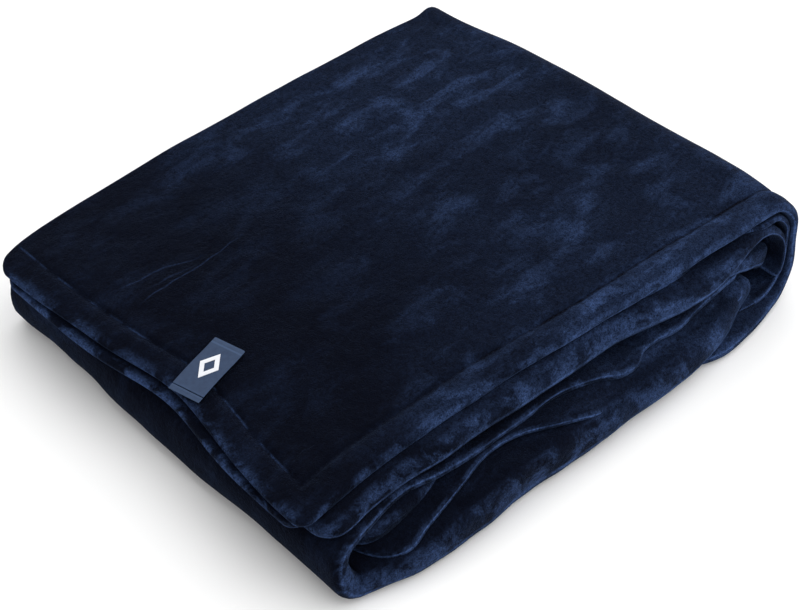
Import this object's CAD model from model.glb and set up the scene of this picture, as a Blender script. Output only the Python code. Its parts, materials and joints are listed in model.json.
# %% [markdown]
# # A folded plush throw
# The object is one large plush blanket, folded until it is a soft brick of cloth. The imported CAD
# model gives its sizes, its two joints and a plain solid for every ply. This lesson dresses it:
# each fold becomes a real cloth surface, with hems, stitches, a woven tab and a crushed pile.

# %% Load the fixed frame
import json
import math

import bpy
import numpy as np
from mathutils import Matrix, Vector, noise


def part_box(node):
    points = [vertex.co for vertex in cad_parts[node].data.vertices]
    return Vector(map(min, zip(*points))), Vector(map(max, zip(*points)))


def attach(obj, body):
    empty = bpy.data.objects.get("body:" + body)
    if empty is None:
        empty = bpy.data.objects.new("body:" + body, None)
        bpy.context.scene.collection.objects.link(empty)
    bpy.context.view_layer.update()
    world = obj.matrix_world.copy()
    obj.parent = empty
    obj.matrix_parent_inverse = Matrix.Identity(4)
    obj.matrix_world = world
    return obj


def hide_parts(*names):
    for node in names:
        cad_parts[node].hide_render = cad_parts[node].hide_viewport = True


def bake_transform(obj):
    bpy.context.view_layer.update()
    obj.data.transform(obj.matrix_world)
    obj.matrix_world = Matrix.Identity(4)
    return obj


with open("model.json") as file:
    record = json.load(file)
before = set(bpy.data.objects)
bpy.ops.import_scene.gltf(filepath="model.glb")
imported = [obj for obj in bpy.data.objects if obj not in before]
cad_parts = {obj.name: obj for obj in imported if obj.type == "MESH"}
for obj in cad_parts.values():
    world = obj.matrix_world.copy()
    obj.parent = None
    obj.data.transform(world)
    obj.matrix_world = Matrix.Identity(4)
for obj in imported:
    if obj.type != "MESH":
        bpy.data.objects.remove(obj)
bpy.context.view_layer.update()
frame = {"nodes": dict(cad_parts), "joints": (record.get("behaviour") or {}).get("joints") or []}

MM = 0.001
bpy.ops.object.select_all(action="DESELECT")
nodes = sorted(frame["nodes"])
print("nodes in the frame:", len(nodes))

# %% [markdown]
# ## Where the folds are
# The shapes below are drawn in millimetres around a few places that the frame gives: the open end,
# the axis that the top half turns about, and the pack's height at both ends. The pack is a wedge,
# because folds puff up where cloth turns, so its height is a straight line between those two.

# %% Read the places from the frame
hinge = frame["joints"][0]["pos_m"]
OPEN_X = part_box("leaf_1_end_hem")[0].x / MM
SPINE_X, SPINE_Z = hinge[0] / MM, hinge[2] / MM
OPEN_RISE = 2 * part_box("wrap_outer_ply")[1].z / MM
SPINE_RISE = 2 * SPINE_Z


def rise(x):
    """The height of the pack above x, all in millimetres."""
    return OPEN_RISE + (SPINE_RISE - OPEN_RISE) * (x - OPEN_X) / (SPINE_X - OPEN_X)


print(f"open end {OPEN_X:.1f} mm, {OPEN_RISE:.1f} mm high")
print(f"spine {SPINE_X:.1f} mm, {SPINE_RISE:.1f} mm high")

# %% [markdown]
# ## The camera comes first
# The lens and the place of the camera decide which edges show, so they are set before any cloth.
# A short lens close by would spread the near corner, so a 71 mm lens from a little over a metre
# away is used. It keeps the long edges nearly parallel.

# %% Camera
camera_data = bpy.data.cameras.new("camera")
camera_data.lens = 71.3
camera_data.clip_start = 0.05
camera = bpy.data.objects.new("camera", camera_data)
bpy.context.scene.collection.objects.link(camera)
camera.location = (-0.595, -0.6105, 0.818)
camera.rotation_euler = (math.radians(90 - 43.96), 0, math.radians(-43.98))
bpy.context.scene.camera = camera
print(f"camera {camera.location.length:.2f} m from the middle of the floor")

# %% [markdown]
# ## How a folded cloth is made
# A ply of a folded throw is a flattened tube: two thicknesses of plush with round rims at its
# sides. It could be drawn as a slab with a bevel, but a slab can't turn round a spine. So each
# cloth starts as a plain grid. One way across the grid runs along the cloth's path through the
# pack, seen from the side, and the other way runs round the tube. Moving the grid's points onto
# that shape, merging the seam and adding the unevenness of real cloth is a kind of sculpting.


# %% A smooth curve through a few hand-picked rows
def distances(rows):
    """How far along the path each row lies. The path is in a row's first two numbers."""
    steps = np.linalg.norm(np.diff(rows[:, :2], axis=0), axis=1)
    return np.concatenate([[0], np.cumsum(steps)])


def smooth_rows(rows, where):
    """The rows joined smoothly, and read at some distances along their path."""
    rows = np.array(rows, float)
    knots = distances(rows)
    slopes = np.gradient(rows, knots, axis=0)
    i = np.clip(np.searchsorted(knots, where, side="right") - 1, 0, len(knots) - 2)
    gap = (knots[i + 1] - knots[i])[:, None]
    f = (where - knots[i])[:, None] / gap
    from_a = (2 * f**3 - 3 * f**2 + 1) * rows[i] + (f**3 - 2 * f**2 + f) * slopes[i] * gap
    to_b = (3 * f**2 - 2 * f**3) * rows[i + 1] + (f**3 - f**2) * slopes[i + 1] * gap
    return from_a + to_b


def turn_rows(centre, outside, start, stop, first, last, boxy=(0, 0), turns=6):
    """Rows round a turn in the side view, from one angle to another. outside is the radius of its
    outer skin. first and last are the front, back, thickness and roundness at its ends, and boxy
    pushes its upper and lower corners out."""
    rows = []
    for i in range(turns + 1):
        f = i / turns
        angle = math.radians(start + (stop - start) * f)
        others = [a + (b - a) * f for a, b in zip(first, last)]
        corner = boxy[0] if math.sin(angle) > 0 else boxy[1]
        reach = outside * (1 + corner * abs(math.sin(2 * angle)) ** 1.5) - others[2] / 2
        x, z = centre[0] + reach * math.cos(angle), centre[1] + reach * math.sin(angle)
        rows.append([x, z, *others])
    return rows


# %% Soft masks
def smoothstep(value, low, high):
    """0 below low, 1 above high, and smooth between."""
    f = np.clip((value - low) / (high - low), 0, 1)
    return f * f * (3 - 2 * f)


def bump_at(value, middle, width):
    """1 at middle, dying away over about width on both sides."""
    return np.exp(-(((value - middle) / width) ** 2))


# %% Where the grid's points go, along the path and round the tube
FINE, COARSE = 2.0, 3.6
CAP_STEPS, RIM_STEPS = 6, 9


def spread(length, start_cap, end_cap, fine_band):
    """Places from 0 to length: close together in the caps and the fine band, wider elsewhere."""
    curve = np.linspace(0, np.pi / 2, CAP_STEPS)
    start = start_cap * (1 - np.cos(curve)) if start_cap else np.array([0.0])
    end = length - (end_cap * (1 - np.cos(curve))[::-1] if end_cap else np.array([0.0]))
    edge = max(start[-1] + FINE, fine_band)
    band = np.arange(start[-1] + FINE, edge, FINE)
    rest = np.linspace(edge, end[0], int((end[0] - edge) / COARSE) + 1)
    return np.concatenate([start, band, rest, end[1:]])


def tube_section(width, fine_band):
    """Points round a flat tube: across it (0 front, 1 back), out past its rims, and up."""
    flat = spread(width, 0, 0, fine_band)[::-1] / width
    turn = np.linspace(0, np.pi, RIM_STEPS)[1:-1]
    across = np.concatenate([flat, 0 * turn, flat[::-1], 0 * turn + 1])
    out = np.concatenate([0 * flat, -np.sin(turn), 0 * flat, np.sin(turn)])
    up = np.concatenate([0 * flat + 1, np.cos(turn), 0 * flat - 1, -np.cos(turn)])
    return across, out, up


def close_ends(s, length, caps, corners, front, back):
    """The share of its thickness that the cloth keeps towards its two ends, and its front and
    back drawn in round the four corners."""
    closing = np.ones_like(s)
    for cap, radius, away in zip(caps, corners, (s, length - s)):
        closing *= np.sqrt(np.clip(1 - (1 - np.minimum(away / cap, 1)) ** 2, 0, 1))
        inset = radius - np.sqrt(radius**2 - np.clip(radius - away, 0, radius) ** 2)
        front, back = front + inset, back - inset
    return closing, front, back


# %% The grid moved onto its points
SEAM_GAP = 0.00002


def cloth_mesh(name, points, traces):
    """A grid moved onto points in millimetres, carrying traces for its material, and sewn shut."""
    rows, columns = points.shape[:2]
    bpy.ops.object.select_all(action="DESELECT")
    bpy.ops.mesh.primitive_grid_add(x_subdivisions=columns, y_subdivisions=rows - 1, size=1)
    cloth = bpy.context.object
    cloth.name = cloth.data.name = name
    around = np.append(np.arange(columns), 0)
    places = (points[:, around] * MM).astype(np.float32)
    cloth.data.vertices.foreach_set("co", places.ravel())
    for label, values in traces.items():
        attribute = cloth.data.attributes.new(label, "FLOAT", "POINT")
        attribute.data.foreach_set("value", values[:, around].astype(np.float32).ravel())

    bpy.ops.object.mode_set(mode="EDIT")
    bpy.ops.mesh.select_all(action="SELECT")
    bpy.ops.mesh.remove_doubles(threshold=SEAM_GAP)
    bpy.ops.mesh.normals_make_consistent(inside=False)
    bpy.ops.object.mode_set(mode="OBJECT")
    bpy.ops.object.shade_smooth()
    return cloth


# %% The flattened tube
def lay_cloth(name, rows, lean=0.0, corners=(8, 8), fine_band=0, relief=None, warp=None,
              lit_at=-0.5):
    """A closed cloth along rows of x, z, front, back, thickness and roundness, in millimetres.
    lean pushes the lower half of the front rim out. relief gives a lift of the surface, and
    warp gives moves of x, y and z. lit_at is where on its rims the pile stands open, from -1 low
    to 1 high."""
    rows = np.array(rows, float)
    length = distances(rows)[-1]
    caps = rows[0][4] / 2, rows[-1][4] / 2
    s = spread(length, *caps, fine_band)
    x, z, front, back, thick, round_rim = smooth_rows(rows, s).T
    tangent = np.stack([np.gradient(x, s), np.gradient(z, s)], -1)
    tangent /= np.linalg.norm(tangent, axis=1, keepdims=True)
    closing, front, back = close_ends(s, length, caps, corners, front, back)
    thick = thick * closing

    across, out, up = tube_section((back - front).max(), fine_band)
    near_front = across < 0.06
    rim = (thick / 2 * round_rim)[:, None]
    y = front[:, None] + rim + across * (back - front - 2 * rim[:, 0])[:, None] + out * rim
    y = y - lean * rim * (1 - up) / 2 * near_front
    height = up * (thick / 2)[:, None]
    px = x[:, None] - tangent[:, 1:] * height
    pz = z[:, None] + tangent[:, :1] * height
    ss = np.broadcast_to(s[:, None], y.shape)
    from_front, from_end = y - front[:, None], np.minimum(ss, length - ss)
    if relief:
        lift = relief(px, y, pz, ss, from_front, up) * closing[:, None]
        side = np.sqrt(out**2 + up**2)
        y = y + lift * out / side
        px = px - tangent[:, 1:] * up / side * lift
        pz = pz + tangent[:, :1] * up / side * lift
    if warp:
        dx, dy, dz = warp(px, y, pz)
        px, y, pz = px + dx, y + dy, pz + dz
    pz = np.maximum(pz, 0)

    ends = np.clip(1 - from_end / max(caps) / 2.4, 0, 1)
    rims = np.maximum(np.abs(out) ** 0.8 * np.ones_like(y), ends)
    under = np.abs(out) * bump_at(up, lit_at, 0.4) * np.ones_like(y)
    crests = np.maximum(under, bump_at(-np.sign(up) * from_end / max(caps), 0.25, 0.35))
    traces = {"rim": rims, "crest": crests, "front": from_front, "along": ss}
    cloth = cloth_mesh(name, np.stack([px, y, pz], -1), traces)
    wide = (back - front).mean()
    wide * MM
    print(f"{name}: {wide:.0f} by {length:.0f} mm, {len(cloth.data.polygons)} faces")
    return cloth


# %% [markdown]
# ## The unevenness of real cloth
# No fold of plush is flat. Points could be moved at random, but then plies that touch would cut
# into each other. Two smooth noises are enough: a long one, for the way plies lie on each other,
# and a short one, for the dents that hands leave. They come from the same place in space on every
# cloth, so plies that touch swell together.


# %% Noise in millimetres
def swell(x, y, z, size, seed):
    """Smooth noise from -1 to 1 at each point, with lumps of about the given size."""
    points = np.stack([x, y, z + 0 * x], -1).reshape(-1, 3) / size
    values = [noise.noise(Vector((a + seed, b - seed, c))) for a, b, c in points]
    return np.array(values).reshape(np.shape(x))


def dents(x, y, z, depth=1.0):
    """The lift that every ply shares."""
    return depth * (1.4 * swell(x, y, z * 0.3, 95, 3.1) + 0.9 * swell(x, y, z, 36, 8.7))


# %% [markdown]
# ## The top leaf and the outer spine
# The top leaf starts at the open end with a turned hem, runs to the spine, turns round it and
# tucks in under the bottom leaf. Its long hem is drawn back a little in the middle, as a folded
# edge is, and the end hem is pulled in where the tab is sewn. The hem could be a separate strip,
# but on a real throw it is the same cloth turned over, so a groove and a swelling draw it here.

# %% Shape of the top leaf
TOP = 8.0
HEM, HEM_BAND = 22.0, 32.0
TAB_X, TAB_Y = OPEN_X + 11, -9


def top_rows():
    """The top leaf's path, with its front and back edges."""
    flat = [(-227, -141, 182), (-215, -139, 187), (-190, -137, 192), (-150, -137, 194)]
    flat += [(-100, -140.5, 194), (-50, -145, 192), (0, -152, 190), (50, -158, 187)]
    flat += [(100, -163, 184), (145, -168, 181)]
    rows = [[x, rise(x) - TOP / 2 - 0.5, front, back, TOP, 0.9] for x, front, back in flat]
    for row, thin in zip(rows, (3.6, 4.6, 6.5)):
        row[4] = thin
    first, last = (-172, 177, TOP + 1, 0.9), (-191, 187, TOP + 2, 0.9)
    outside = SPINE_Z - 0.5
    rows += turn_rows((SPINE_X, SPINE_Z), outside, 90, -90, first, last, boxy=(0.17, 0.06))
    rows += [[145, 6, -196, 188, 11, 0.8], [118, 6, -197, 187, 11, 0.8], [88, 5, -188, 182, 7, 0.9]]
    return rows


# %% Relief of the top leaf
def hem_relief(from_front, s, x, y, up):
    """The groove along the stitches and the soft puckers beside it, on the upper side."""
    d = np.minimum(from_front, s)
    pucker = swell(x, y, 0, 8, 5.5) * bump_at(d, HEM, 9) * 0.7
    lift = 0.9 * bump_at(d, HEM * 0.5, 7) + pucker - 1.7 * bump_at(d, HEM, 2.2)
    return np.where(up > 0.2, lift, 0) * (1 - smoothstep(y, 150, 176))


def top_relief(x, y, z, s, from_front, up):
    """Dents and the hem. The cloth lies flat where the tab rests on it."""
    under_tab = bump_at(x, TAB_X + 22, 34) * bump_at(y, TAB_Y + 6, 30)
    return dents(x, y, z) * (1 - under_tab) + hem_relief(from_front, s, x, y, up)


# %% Lay the top leaf
def upper_warp(x, y, z):
    """The upper plies are pulled in at the tab, and their corners at the spine draw back."""
    open_end = (1 - smoothstep(x, -222, -140)) * (z > 45)
    pulled = 11 * bump_at(y, 5, 52) * open_end
    back_corner = smoothstep(y, 40, 182) ** 1.5 * smoothstep(x, 150, 225)
    front_corner = smoothstep(-y, 125, 185) * smoothstep(x, 165, 222)
    return pulled - 12 * back_corner - 6 * front_corner, 0 * y, -1.0 * back_corner


def top_warp(x, y, z):
    """The top leaf also slips back over its lining between the corners of the open end."""
    dx, dy, dz = upper_warp(x, y, z)
    slipped = smoothstep(y, -125, -40) * smoothstep(-y, -165, -80)
    slipped = slipped * (1 - smoothstep(x, -215, -150))
    return dx + 5.0 * slipped * (z > 45), dy, dz


top_leaf = lay_cloth("top_leaf", top_rows(), 0.1, (12, 16), HEM_BAND, top_relief, top_warp)

# %% [markdown]
# ## The lining ply of the top leaf
# Under the hemmed ply lies a second one, set back a little. It shows as a second rim at the
# spine's end of the long side and all along the back. Leaving it out would make the top leaf look
# like a single thick mat, so it gets its own path, just inside the first.


# %% Shape of the lining ply
def lining_rows():
    """The path of the ply under the top leaf."""
    flat = [(-228, -131, 172), (-214, -133, 180), (-190, -130, 183), (-100, -134, 187)]
    flat += [(0, -147, 184), (100, -161, 180), (145, -160, 178)]
    rows = [[x, rise(x) - TOP - 4, front, back, 6, 0.9] for x, front, back in flat]
    for row, raised in zip(rows, (0.5, 1)):
        row[1] += raised
    first, last = (-174, 174, 6, 0.9), (-184, 182, 6, 0.9)
    outside = SPINE_Z - TOP - 1
    rows += turn_rows((SPINE_X, SPINE_Z), outside, 90, -90, first, last, boxy=(0.16, 0.05))
    rows += [[140, 13, -180, 184, 6, 0.9]]
    return rows


def soft_relief(x, y, z, s, from_front, up):
    """Only the shared dents, a little shallower."""
    return dents(x, y, z, 0.8)


lining = lay_cloth("lining_ply", lining_rows(), 0, (10, 14), 0, soft_relief, upper_warp)

# %% [markdown]
# ## The second leaf
# It is the same cloth once more: a plumper fold under the top one, standing out a little further
# on every side, and turning inside the outer spine. Its front rim leans out at the bottom. A copy
# of the top leaf, moved down, would be too regular, so its heights and edges are picked by hand.


# %% Shape of the second leaf
def second_rows():
    """The second leaf's path and its turn inside the spine."""
    rows = [
        [-219, 49.0, -146, 178, 8, 0.9],
        [-208, 50.5, -150, 182, 10, 0.9],
        [-180, 51.5, -147.5, 187, 12, 0.9],
        [-150, 53.0, -147.5, 191, 13, 0.9],
        [-122, 54.5, -151.5, 192, 14, 0.9],
        [-88, 55.5, -152.5, 191, 16, 0.9],
        [-42, 56.5, -156, 190, 18, 0.9],
        [2, 57.5, -158.5, 189, 19, 0.9],
        [38, 58.0, -161, 188, 20, 0.9],
        [64, 58.0, -167, 187, 19, 0.9],
        [97, 57.5, -173.5, 185, 18, 0.9],
        [121, 59.0, -177, 184, 15, 0.9],
        [139, 63.5, -177.5, 183, 11, 0.9],
        [157, 67.5, -176, 181, 8, 0.9],
        [178, 68.0, -175, 180, 7, 0.9],
    ]
    first, last = (-176, 179, 7, 0.9), (-184, 180, 7, 0.9)
    rows += turn_rows((184, 42), 26, 60, -62, first, last, turns=4)
    return rows


second_leaf = lay_cloth("second_leaf", second_rows(), 0.8, (12, 6), 0, soft_relief, upper_warp)

# %% [markdown]
# ## The wrap, the third leaf and the bottom leaf
# At the open end the cloth turns right round the lower two leaves. Three pieces would leave joins
# where the real cloth runs on, so the three are one path: in along the third leaf, round the
# wrap, and back along the bottom leaf, which is the plumpest because all the weight of the turns
# lies in it.


# %% Shape of the wrap
def wrap_rows():
    """The path in along the third leaf, round the open end and back along the floor."""
    rows = [
        [165, 35.0, -170, 180, 6, 0.9],
        [140, 37.0, -172, 182, 7, 0.9],
        [106, 38.0, -175, 183, 8, 0.9],
        [85, 38.0, -177, 183, 8, 0.9],
        [66, 38.0, -174, 184, 8, 0.9],
        [52, 37.0, -174, 184, 8, 0.9],
        [42, 36.0, -179, 184, 9, 0.9],
        [28, 36.0, -179, 185, 9, 0.9],
        [10, 38.5, -171, 186, 8, 0.9],
        [-12, 40.0, -164, 187, 8, 0.9],
        [-60, 39.5, -161, 188, 8, 0.9],
        [-98, 39.0, -159, 188, 8, 0.9],
        [-125, 39.5, -156, 188, 8, 0.9],
        [-152, 41.0, -151, 188, 8, 0.9],
        [-180, 41.0, -154, 187, 8, 0.9],
    ]
    first, last = (-158, 186, 8, 0.9), (-172, 185, 19, 0.7)
    rows += turn_rows((-199, 22.5), 22.5, 90, 262, first, last, boxy=(0.06, 0.06))
    rows += [
        [-180, 10.5, -180, 187, 20, 0.6],
        [-155, 12.0, -185, 189, 23, 0.5],
        [-120, 15.0, -187, 191, 29, 0.45],
        [-50, 16.5, -189, 192, 32, 0.4],
        [-15, 16.0, -192, 192, 31, 0.55],
        [20, 15.5, -194, 192, 30, 0.7],
        [70, 16.0, -197, 191, 29, 0.75],
        [100, 17.0, -196, 190, 27, 0.8],
        [130, 19.0, -190, 188, 24, 0.8],
        [150, 20.0, -183, 187, 22, 0.8],
        [174, 21.0, -176, 186, 18, 0.8],
    ]
    return rows


# %% Lay the wrap
def wrap_relief(x, y, z, s, from_front, up):
    """Dents, small crumples in the long side, and lumps at the open end."""
    crumple = 1.2 * swell(x, y, z, 24, 2.2) * smoothstep(-y, 150, 185)
    lumps = 1.8 * swell(x, y, z, 40, 1.7) * smoothstep(-x, 170, 200)
    return dents(x, y, z, 0.9) + crumple + lumps


def wrap_warp(x, y, z):
    """The turn at the open end sags outwards near the floor, most of all in the middle."""
    sag = bump_at(y, 15, 75) * (1 - smoothstep(z, 8, 36)) * (1 - smoothstep(x, -215, -160))
    return -4.2 * sag, 0 * y, 0 * z


wrap = lay_cloth("wrap", wrap_rows(), 0.0, (10, 6), 0, wrap_relief, wrap_warp)

# %% [markdown]
# ## The plies inside the wrap
# Three smaller folds show in the long side: a hemmed ply over the bottom leaf, whose edge runs
# down into the mouth of the wrap, the roll inside the mouth, and the roll inside the spine's loop.
# Painted lines could hint at them, but only a real rim catches light along its crest and keeps
# the hollow dark beside it, so each is a small cloth of its own.


# %% Shape of the hemmed inner ply
def inner_rows():
    """The inner ply's path, from the mouth of the wrap to the spine."""
    return [
        [-197, 19.5, -150, 178, 6, 0.9],
        [-188, 20.5, -165, 178, 6, 0.9],
        [-176, 22.0, -174, 178, 6, 0.9],
        [-152, 26.5, -172, 180, 6, 0.9],
        [-118, 32.0, -167, 182, 6, 0.9],
        [-92, 34.5, -162, 182, 6, 0.9],
        [-60, 35.0, -166, 182, 6, 0.9],
        [-35, 35.5, -178, 182, 6, 0.9],
        [10, 34.0, -186, 182, 6, 0.9],
        [50, 32.5, -187, 182, 6, 0.9],
        [110, 31.0, -184, 182, 6, 0.9],
        [160, 30.5, -178, 180, 6, 0.9],
    ]


def inner_warp(x, y, z):
    """The edge hangs down over the bottom leaf towards the spine."""
    droop = smoothstep(-y, 168, 188) * smoothstep(x, -45, 15)
    return 0 * x, -3 * droop, -9 * droop


inner_ply = lay_cloth("inner_ply", inner_rows(), 0.2, (10, 8), 0, soft_relief, inner_warp, 0.3)


# %% Shape of the mouth roll
def mouth_rows():
    """A short roll, thick in the mouth of the wrap and thin further in."""
    return [
        [-196, 28.0, -150, 172, 14, 0.5],
        [-180, 28.0, -157, 178, 20, 0.5],
        [-160, 28.0, -158, 179, 20, 0.5],
        [-138, 31.0, -156, 179, 13, 0.5],
        [-122, 34.0, -151, 176, 7, 0.5],
        [-108, 35.0, -142, 172, 4, 0.5],
    ]


mouth_roll = lay_cloth("mouth_roll", mouth_rows(), 0, (8, 8), 0, wrap_relief)


# %% Shape of the spine roll
def spine_rows():
    """A short roll that fills the loop of the spine."""
    return [
        [134, 43.0, -162, 172, 5, 0.5],
        [148, 44.5, -170, 177, 9, 0.5],
        [162, 45.0, -173, 178, 13, 0.5],
        [176, 42.0, -175, 178, 16, 0.5],
        [188, 37.0, -174, 176, 18, 0.5],
        [197, 34.5, -167, 172, 13, 0.5],
    ]


def crumpled_relief(x, y, z, s, from_front, up):
    """Small crumples, because this cloth is bunched up."""
    return 1.6 * swell(x, y, z, 17, 6.1) + dents(x, y, z, 0.5)


spine_roll = lay_cloth("spine_roll", spine_rows(), 0, (8, 8), 0, crumpled_relief)

# %% [markdown]
# ## The woven tab
# A maker's tab is a short tape, folded in half and caught in the hem. Its sewn foot stays on the
# hem, while the loose flap turns about the seam, so one strip wouldn't do and they are two
# pieces. Both are laid flat with the cloth maker first, because that keeps their rows simple, and
# then turned onto the slope of the top leaf.

# %% The tab's place on the hem
TAB_LONG, TAB_WIDE, TAB_FOOT = 50, 25, 4
slant = (SPINE_RISE - OPEN_RISE) / (SPINE_X - OPEN_X)
tab_place = Matrix.Translation(Vector((TAB_X, TAB_Y, rise(TAB_X) + 0.8)) * MM)
tab_place @= Matrix.Rotation(-math.atan(slant), 4, "Y") @ Matrix.Rotation(math.radians(13), 4, "Z")


def tab_rows(stations):
    """Rows from stations of distance, height and thickness along the tab."""
    half = TAB_WIDE / 2
    return [[u, height, -half, half, thick, 0.8] for u, height, thick in stations]


foot_stations = [(-0.5, 0.0, 0.6), (1.5, 0.2, 0.7), (4.0, 0.25, 0.7)]
flap_stations = [(4.4, 0.5, 0.9), (12, 1.1, 0.9), (26, 1.5, 0.9), (40, 1.3, 0.95), (49.4, 1.7, 1.3)]
tab_foot = lay_cloth("woven_tab_foot", tab_rows(foot_stations), 0, (0.4, 0.4))
tab_flap = lay_cloth("woven_tab_flap", tab_rows(flap_stations), 0, (0.4, 1.2))
for piece in (tab_foot, tab_flap):
    piece.data.transform(tab_place)
print("tab from", [round(v / MM, 1) for v in tab_flap.data.vertices[0].co])

# %% [markdown]
# ## The mark on the tab
# The real tab has a maker's sign woven in white. A plain lozenge takes its place. It could be
# drawn in the material, but raised thread has an edge of its own. So it is a square ring, stood
# on its corner and stretched, inset, given a little thickness and bent to the tab's arch.


# %% Lozenge ring
def arch(u):
    """The height of the flap's upper side at a distance along it."""
    return np.interp(u, [s[0] for s in flap_stations], [s[1] + s[2] / 2 for s in flap_stations])


bpy.ops.object.select_all(action="DESELECT")
bpy.ops.mesh.primitive_circle_add(vertices=4, radius=1, fill_type="NGON")
mark = bpy.context.object
mark.name = mark.data.name = "tab_lozenge"
mark.data.transform(Matrix.Diagonal((12 * MM, 7.5 * MM, 1, 1)))
bpy.ops.object.mode_set(mode="EDIT")
bpy.ops.mesh.select_all(action="SELECT")
bpy.ops.mesh.inset(thickness=3.1 * MM)
bpy.ops.mesh.delete(type="FACE")
bpy.ops.mesh.select_all(action="SELECT")
bpy.ops.mesh.subdivide(number_cuts=7)
bpy.ops.object.mode_set(mode="OBJECT")
print("lozenge ring faces", len(mark.data.polygons))

# %% Bend the lozenge to the tab and give it thickness
middle = (TAB_FOOT + TAB_LONG) / 2
for vertex in mark.data.vertices:
    vertex.co.x += middle * MM
    vertex.co.z = (arch(vertex.co.x / MM) + 0.05) * MM
raised = {"thickness": 0.4 * MM, "offset": 1}
eased = {"width": 0.12 * MM, "segments": 2, "limit_method": "ANGLE"}
for kind, settings in (("SOLIDIFY", raised), ("BEVEL", eased)):
    finishing = mark.modifiers.new(kind.lower(), kind)
    for key, value in settings.items():
        setattr(finishing, key, value)
    bpy.ops.object.modifier_apply(modifier=finishing.name)
mark.data.transform(tab_place)
print("lozenge faces", len(mark.data.polygons))

# %% [markdown]
# ## Stitches
# A hem is held by a row of short stitches that sink into the pile. An array along a curve would
# float over the dents, so one stitch is modelled, like a grain of rice, and copied along the hem.
# Each copy is dropped onto the cloth by a ray from above, and turned to lie along its row and
# square to the cloth.

# %% Lay stitches on a cloth
ABOVE = 0.2


def one_stitch(long, wide):
    """A grain of rice, along x."""
    bpy.ops.object.select_all(action="DESELECT")
    bpy.ops.mesh.primitive_uv_sphere_add(segments=8, ring_count=6, radius=0.5)
    one = bpy.context.object
    one.data.transform(Matrix.Diagonal((long * MM, wide * MM, wide * 0.8 * MM, 1)))
    bpy.ops.object.shade_smooth()
    return one


def sew(name, cloth, places, long=3.0, wide=0.7, sunk=0.2):
    """Stitches from place to place, x and y in millimetres, on the top of a cloth."""
    one = one_stitch(long, wide)
    made = []
    for here, after in zip(places[:-1], places[1:]):
        from_above = Vector((here[0] * MM, here[1] * MM, ABOVE))
        hit, spot, normal, _ = cloth.ray_cast(from_above, Vector((0, 0, -1)))
        if not hit:
            continue
        along = Vector((after[0] - here[0], after[1] - here[1], 0)).normalized()
        along = (along - normal * along.dot(normal)).normalized()
        turn = Matrix((along, normal.cross(along), normal)).transposed().to_4x4()
        stitch = one.copy()
        stitch.data = one.data.copy()
        stitch.data.transform(Matrix.Translation(spot - normal * sunk * MM) @ turn)
        bpy.context.scene.collection.objects.link(stitch)
        made.append(stitch)
    bpy.data.objects.remove(one)
    for stitch in made:
        stitch.select_set(True)
    bpy.context.view_layer.objects.active = made[0]
    bpy.ops.object.join()
    row = bpy.context.object
    row.name = row.data.name = name
    print(f"{name}: {len(made)} stitches")
    return row


# %% Sew the hems
PITCH = 4.2


def top_hem(low, high, end=False):
    """Places along the top leaf's long hem from one x to another, or along its end hem."""
    if end:
        y = np.arange(low, high, PITCH)
        x = np.full_like(y, smooth_rows(top_rows(), np.array([HEM]))[0, 0])
    else:
        top_length = 430
        rows = smooth_rows(top_rows(), np.arange(HEM, top_length, PITCH))
        rows = rows[(rows[:, 0] > low) & (rows[:, 0] < high)]
        x, y = rows[:, 0], rows[:, 2] + HEM
    return np.stack([x + upper_warp(x, y, 0 * x + SPINE_RISE)[0], y], -1)


long_stitches = sew("long_hem_stitches", top_leaf, top_hem(-204, 186))
end_stitches = sew("end_hem_stitches", top_leaf, top_hem(-117, 172, end=True))
inner_x, inner_y = (-60, -35, 10, 30), (-160, -172, -180.5, -181)
inner_line = [(x, np.interp(x, inner_x, inner_y)) for x in range(-58, 30, 4)]
inner_stitches = sew("inner_hem_stitches", inner_ply, inner_line)
foot_line = [tab_place @ Vector((2.2 * MM, v * MM, 0)) / MM for v in np.arange(-11.4, 12, 1.9)]
tab_stitches = sew("tab_stitches", tab_foot, foot_line, 1.5, 0.6, 0.12)

# %% [markdown]
# ## The care label
# A satin care label is sewn into the hem and lies flat between the top two leaves. It is blank.
# It can't be seen, but it is part of the object and its own file. A plain box would have hard
# edges that ribbon doesn't have, so the cloth maker lays it in the CAD label's place.

# %% Care label
label_low, label_high = (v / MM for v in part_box("care_label"))
label_z = (label_low.z + label_high.z) / 2
label_at = np.linspace(label_low.x, label_high.x, 4)
label_rows = [[x, label_z, label_low.y, label_high.y, 0.3, 0.9] for x in label_at]
care_label = lay_cloth("care_label_satin", label_rows, 0, (1, 1))

# %% [markdown]
# ## Shader helpers
# A material is a net of small sums. Written node by node, it is hard to read. Written as sums, it
# reads like a recipe: the class Wire wraps one socket, so that an expression on two sockets adds
# the Math nodes that work it out, and the class Net adds every other node by one method.


# %% Socket arithmetic
class Wire:
    """One socket that can be added, multiplied and so on."""

    def __init__(self, net, socket):
        self.net, self.socket = net, socket

    def __add__(self, other):
        return self.net.math("ADD", self, other)

    def __sub__(self, other):
        return self.net.math("SUBTRACT", self, other)

    def __rsub__(self, other):
        return self.net.math("SUBTRACT", other, self)

    def __mul__(self, other):
        return self.net.math("MULTIPLY", self, other)

    def __truediv__(self, other):
        return self.net.math("DIVIDE", self, other)

    def __pow__(self, other):
        return self.net.math("POWER", self, other)

    __radd__, __rmul__ = __add__, __mul__

    def clamped(self):
        return self.net.math("ADD", self, 0.0, clamp=True)

    def sine(self):
        return self.net.math("SINE", self)

    def step(self, low, high):
        """0 below low, 1 above high, and smooth between."""
        values = {"Value": self, "From Min": low, "From Max": high}
        return self.net.add("ShaderNodeMapRange", {"interpolation_type": "SMOOTHSTEP"}, values)

    def line(self, middle, half, core=0.1):
        """1 where the value is at middle, 0 from half away. core is the share that stays 1."""
        away = self.net.math("ABSOLUTE", (self - middle) / half)
        return 1 - away.step(core, 1.0)


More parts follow.
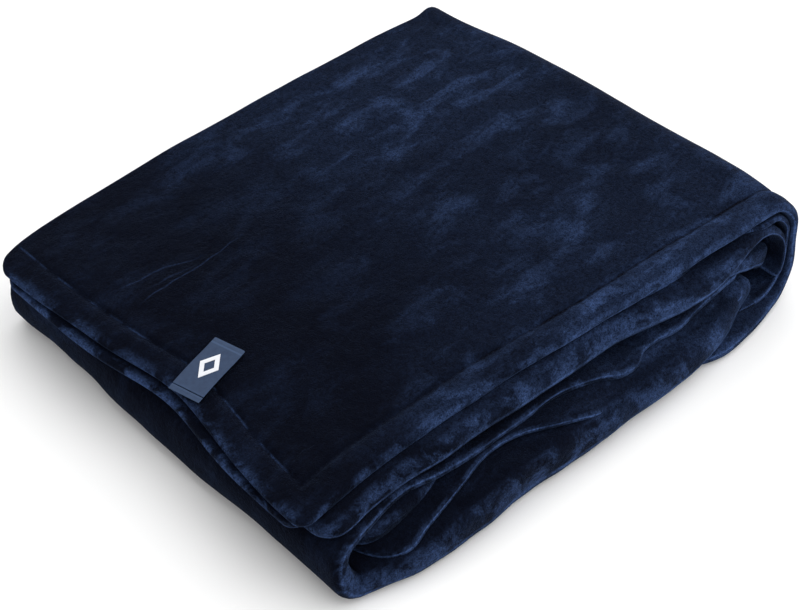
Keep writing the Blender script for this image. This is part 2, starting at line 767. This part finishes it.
# %% A material's net of nodes
class Net:
    """One material's nodes."""

    def __init__(self, name):
        self.material = bpy.data.materials.new(name)
        self.material.use_nodes = True
        self.tree = self.material.node_tree

    def add(self, kind, settings, values, out=0):
        """A node of a type, its settings, and the values or links of its sockets."""
        node = self.tree.nodes.new(kind)
        for key, value in settings.items():
            setattr(node, key, value)
        self.fill(node, values)
        return Wire(self, node.outputs[out])

    def fill(self, node, values):
        for key, value in values.items():
            if isinstance(value, Wire):
                self.tree.links.new(value.socket, node.inputs[key])
            else:
                node.inputs[key].default_value = value

    def math(self, operation, *values, clamp=False):
        settings = {"operation": operation, "use_clamp": clamp}
        return self.add("ShaderNodeMath", settings, dict(enumerate(values)))

    def finish(self, values):
        """Fill the shader's own sockets, and give the material back."""
        self.fill(self.tree.nodes["Principled BSDF"], values)
        return self.material


# %% The few nodes that every finish uses
class ClothNet(Net):
    """A net with the nodes that cloth needs."""

    def spot(self):
        """Where a point is on the piece, in metres."""
        return self.add("ShaderNodeTexCoord", {}, {}, "Object")

    def part(self, vector, axis):
        return self.add("ShaderNodeSeparateXYZ", {}, {"Vector": vector}, axis)

    def trace(self, name):
        """A number that the cloth maker left on the mesh: rim, crest, front or along."""
        return self.add("ShaderNodeAttribute", {"attribute_name": name}, {}, "Fac")

    def turned(self, at, angle, scale=(1, 1, 1)):
        values = {"Vector": at, "Rotation": (0, 0, angle), "Scale": scale}
        return self.add("ShaderNodeMapping", {}, values)

    def noise(self, at, scale, detail=3.0, distortion=0.0, roughness=0.5):
        values = {"Vector": at, "Scale": scale, "Detail": detail,
                  "Distortion": distortion, "Roughness": roughness}
        return self.add("ShaderNodeTexNoise", {}, values)

    def stripes(self, at, direction, scale, distortion):
        values = {"Vector": at, "Scale": scale, "Distortion": distortion}
        return self.add("ShaderNodeTexWave", {"bands_direction": direction}, values, "Fac")

    def mix(self, factor, a, b):
        """A colour between a and b."""
        values = {0: factor, 6: (*a, 1), 7: (*b, 1)}
        return self.add("ShaderNodeMix", {"data_type": "RGBA"}, values, 2)

    def bump(self, height, distance, strength, under=None):
        values = {"Height": height, "Distance": distance, "Strength": strength}
        if under is not None:
            values["Normal"] = under
        return self.add("ShaderNodeBump", {}, values)


# %% [markdown]
# ## Crushed plush
# Plush is a knit with a short upright pile. Where the pile leans away it looks nearly black, and
# where it leans towards the light it looks blue. Hair would draw each fibre, but it is heavy and
# can't be exported, so one colour map says how the pile was stroked: broad strokes, finger-sized
# patches and the grain of the pile. The pile also stands open on every rolled edge, so the rim
# and crest traces lighten those, and it is pressed flat along the hem's stitches, which makes a
# fine dark line.

# %% Creases in the pile
CREASES = [((-0.184, 0.077), (-0.083, 0.077)), ((-0.168, 0.083), (-0.127, 0.079)),
           ((-0.188, 0.101), (-0.113, 0.080))]


def crease_line(net, at, start, end, width=0.0011):
    """1 along a wavering line on the cloth, from start to end in metres, fading out at its ends."""
    run = Vector(end) - Vector(start)
    values = {"Vector": at, "Location": (*start, 0), "Rotation": (0, 0, math.atan2(run.y, run.x))}
    placed = net.add("ShaderNodeMapping", {"vector_type": "TEXTURE"}, values)
    along = net.part(placed, "X")
    across = net.part(placed, "Y") + (net.noise(at, 26, 2) - 0.5) * 0.012
    ends = along.step(0, 0.02) * (1 - along.step(run.length - 0.03, run.length))
    return ends * across.line(0, width)


# %% Wear along the hem
def hem_wear(net, at, along_x, patches):
    """Lighter cloth outside the stitches, a pale crease at the end hem, and a dark groove."""
    along, front = net.trace("along"), net.trace("front")
    groove = front.line(HEM, 1.6) * along_x.step(-0.12, 0.05)
    crease = along.line(HEM, 1.3) * net.noise(at, 60, 3).step(0.40, 0.56)
    crease = crease * front.step(HEM + 2, HEM + 30)
    band = (1 - front.step(HEM - 6, HEM + 1)) * net.noise(at, 7, 1).step(0.36, 0.6)
    return band * (0.06 + patches * 0.16) + crease * 0.15 - groove * 0.09


# %% Plush material
DEEP, LIT = (0.0017, 0.0020, 0.0046), (0.061, 0.112, 0.275)


def plush_material(name, hemmed=False, edges=0.26):
    """From deep navy, where the pile leans away, to lit blue. edges is how open the rims are."""
    net = ClothNet(name)
    at = net.spot()
    along_x = net.part(at, "X")
    turned = net.turned(at, 0.5, (0.62, 1.25, 1.0))
    strokes = net.noise(turned, 9, 3, 0.5).step(0.44, 0.66)
    patches = net.noise(turned, 38, 5, 0.5, 0.6).step(0.46, 0.68)
    clumps = net.noise(at, 300, 4, 0.2, 0.8).step(0.30, 0.72)
    grain = net.noise(at, 1000, 2, 0, 0.8).step(0.30, 0.72)
    stroked = (along_x + net.noise(at, 8, 2) * 0.16).step(-0.06, 0.12)
    edge = (net.trace("rim") ** 1.3) * net.noise(at, 42, 5, 0.6, 0.65).step(0.42, 0.58)
    crest = net.trace("crest").step(0.50, 0.95) * (0.55 + net.noise(at, 26, 3).step(0.42, 0.58) * 0.7)
    ruffled = strokes * 0.03 + patches * (0.07 + strokes * 0.11)
    worn = 0.012 + stroked * 0.034 + ruffled * (0.35 + stroked * 0.65)
    worn = worn + edge * edges + crest * 0.40
    if hemmed:
        worn = worn + hem_wear(net, at, along_x, patches)
        for start, end in CREASES:
            worn = worn + crease_line(net, at, start, end) * 0.10
    worn = worn * (0.02 + clumps * 1.05 + grain * 1.15)
    pile = net.bump(grain * 0.5 + clumps * 0.8, 0.0010, 0.7)
    crush = net.bump(net.noise(at, 48, 2, 0.3), 0.004, 0.5, pile)
    return net.finish({"Base Color": net.mix(worn.clamped(), DEEP, LIT), "Normal": crush,
                       "Roughness": 0.9, "Specular IOR Level": 0.02, "Sheen Weight": 0.10,
                       "Sheen Roughness": 0.2, "Sheen Tint": (0.30, 0.46, 0.85, 1)})


plush = plush_material("plush")
hemmed_plush = plush_material("hemmed_plush", hemmed=True)
lining_plush = plush_material("lining_plush", edges=0.42)
for finish in (plush, hemmed_plush, lining_plush):
    print(finish.name, "has", len(finish.node_tree.nodes), "nodes")

# %% [markdown]
# ## Thread, tape and satin
# The thread is twisted, so fine slanting stripes run along each stitch. The tape is a tight weave
# of two slate blues with a pale line where it is folded, and the lozenge is satin stitch: long
# white threads side by side. The care label is plain satin. An image of a weave would blur close
# up, while waves at the real pitch stay sharp and follow the tape when it turns.


# %% Thread and satin stitch
def thread_material(name, colour, lighter):
    """Twisted thread: slanting stripes of two shades."""
    net = ClothNet(name)
    twist = net.stripes(net.spot(), "DIAGONAL", 900.0, 0.6)
    return net.finish({"Base Color": net.mix(twist, colour, lighter), "Roughness": 0.8,
                       "Normal": net.bump(twist, 0.0002, 0.5), "Specular IOR Level": 0.1})


def satin_stitch_material(name, colour, shade):
    """Long threads side by side, turned to lie across the tab."""
    net = ClothNet(name)
    at = net.spot()
    threads = net.stripes(net.turned(at, math.radians(-16)), "X", 420.0, 0.4)
    tone = threads * 0.6 + net.noise(at, 500, 2) * 0.4
    return net.finish({"Base Color": net.mix(tone, shade, colour), "Roughness": 0.45,
                       "Normal": net.bump(threads, 0.0002, 0.4)})


hem_thread = thread_material("hem_thread", (0.002, 0.003, 0.009), (0.005, 0.009, 0.024))
tab_thread = thread_material("tab_thread", (0.020, 0.036, 0.080), (0.060, 0.095, 0.170))
white = satin_stitch_material("white_satin_stitch", (0.86, 0.87, 0.90), (0.60, 0.62, 0.68))
print("finishes:", hem_thread.name, tab_thread.name, white.name)


# %% Woven tape and label satin
def woven_material(name, dark, light, pitch, gloss, fold=None):
    """Warp and weft at a pitch in millimetres, read from the cloth's own along and front. fold is
    how far along the tape it was once folded."""
    net = ClothNet(name)
    at = net.spot()
    along, front = net.trace("along"), net.trace("front")
    turn = 2 * math.pi / pitch
    weave = (front * turn).sine() * (along * turn).sine() * 0.5 + 0.5
    tone = weave * 0.45 + net.noise(at, 300, 3) * 0.5
    if fold is not None:
        tone = tone + along.line(fold, 0.9, 0.3) * 0.9
    tone = tone + net.trace("rim") * 0.35
    return net.finish({"Base Color": net.mix(tone.clamped(), dark, light), "Roughness": gloss,
                       "Normal": net.bump(weave, 0.0002, 0.5), "Specular IOR Level": 0.25})


SLATE, PALE_SLATE = (0.011, 0.022, 0.054), (0.040, 0.072, 0.145)
tape = woven_material("slate_tape", SLATE, PALE_SLATE, 0.9, 0.65, fold=40.8)
foot_tape = woven_material("slate_tape_foot", SLATE, PALE_SLATE, 0.9, 0.65)
label_satin = woven_material("label_satin", (0.55, 0.56, 0.58), (0.78, 0.79, 0.80), 0.6, 0.4)
print("finishes:", tape.name, foot_tape.name, label_satin.name)

# %% [markdown]
# ## Dress the pieces and let them ride
# Each piece takes its finish and follows its part of the frame. The three cloths that turn round
# the spine are shared between the base and the cover, so they bend when the top half opens. If
# they rode on one of the two, they would tear away from the other.

# %% Finishes and slots
finishes = [
    (top_leaf, hemmed_plush, "plush"), (lining, lining_plush, "plush"),
    (second_leaf, plush, "plush"), (wrap, plush, "plush"), (inner_ply, plush, "plush"),
    (mouth_roll, plush, "plush"), (spine_roll, plush, "plush"),
    (long_stitches, hem_thread, "hem_thread"), (end_stitches, hem_thread, "hem_thread"),
    (inner_stitches, hem_thread, "hem_thread"), (tab_stitches, tab_thread, "tab_thread"),
    (tab_foot, foot_tape, "woven_tab"), (tab_flap, tape, "woven_tab"),
    (mark, white, "mark_weave"), (care_label, label_satin, "care_satin"),
]
for piece, finish, slot in finishes:
    piece.data.materials.clear()
    piece.data.materials.append(finish)
print("pieces dressed:", len(finishes))


# %% Rides
def turn_with_cover(cloth, tilt, low, high):
    """Share a cloth between base and cover. low and high are measured up from the hinge, along a
    line that leans back by tilt, so that it stays level with the cloth's own slope."""
    across = 1 + tilt**2
    ends = [(SPINE_X - tilt * d / across, 0, SPINE_Z + d / across) for d in (low, high)]
    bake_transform(cloth)
    print(f"{cloth.name} bends from {ends[0][2]:.0f} to {ends[1][2]:.0f} mm above the floor")


turn_with_cover(top_leaf, slant, -30, 30)
turn_with_cover(lining, slant, -24, 20)
turn_with_cover(second_leaf, 0.2, -30, 19)
for piece in (wrap, inner_ply, mouth_roll, spine_roll, inner_stitches):
    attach(piece, "base")
for piece in (long_stitches, end_stitches, tab_stitches, tab_foot, care_label):
    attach(piece, "cover")
for piece in (tab_flap, mark):
    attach(piece, "tab")

# %% [markdown]
# ## Sheets and stand-ins
# Every cloth is declared as a sheet: its flat size, what it rests on, and what is sewn to it. The
# flat size is the mean width and the length of its path, so it needs no second model laid flat.
# Then each piece names the plain CAD solids that it stands in for, and those are hidden.

# %% What each piece stands in for
for piece, parts in (
    (top_leaf, ("leaf_1", "outer_spine")), (second_leaf, ("leaf_2", "inner_spine")),
    (wrap, ("leaf_3", "leaf_4", "wrap")), (long_stitches, "long_hem_stitching"),
    (end_stitches, "end_hem_stitching"), (tab_stitches, "tab_stitching"),
    (tab_foot, "tab_foot"), (tab_flap, "tab_flap"), (mark, "tab_mark"), (care_label, "care_label"),
):
    stood_in = [node for node in nodes if node.startswith(parts)]
    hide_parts(*stood_in)
    print(f"{piece.name} stands in for {len(stood_in)}")

# %% [markdown]
# ## Floor and light
# The throw lies on a plain pale floor in a soft studio. A small lamp would give dark cloth hard
# shadows that hide its folds. Two very broad suns are used instead, one from the spine's end to
# draw the rims of the top and one on the long side to open its hollows, and a white world fills
# the rest. The Standard view keeps the navy from turning grey.

# %% Floor
bpy.ops.mesh.primitive_plane_add(size=8, location=(0, 0, 0))
floor = bpy.context.object
floor.name = "floor"
pale = bpy.data.materials.new("pale_floor")
pale.use_nodes = True
pale.node_tree.nodes["Principled BSDF"].inputs["Base Color"].default_value = (0.95, 0.95, 0.95, 1)
floor.data.materials.append(pale)
print("floor", [round(v, 1) for v in floor.dimensions])

# %% Light
world = bpy.data.worlds.new("studio")
bpy.context.scene.world = world
world.use_nodes = True
world.node_tree.nodes["Background"].inputs["Color"].default_value = (1, 1, 1, 1)
world.node_tree.nodes["Background"].inputs["Strength"].default_value = 0.75


def soft_sun(name, place, strength, softness):
    """A broad light from the direction of place, as soft as a window of that many degrees."""
    data = bpy.data.lights.new(name, "SUN")
    data.energy, data.angle = strength, math.radians(softness)
    lamp = bpy.data.objects.new(name, data)
    bpy.context.scene.collection.objects.link(lamp)
    lamp.location = place
    lamp.rotation_euler = (-Vector(place)).to_track_quat("-Z", "Y").to_euler()
    print(f"{name}: strength {strength}, {softness} degrees wide")


soft_sun("key", (0.7, 0.35, 1.1), 1.3, 90)
soft_sun("side_fill", (0.7, -1.0, 0.7), 1.2, 90)
bpy.context.scene.view_settings.view_transform = "Standard"
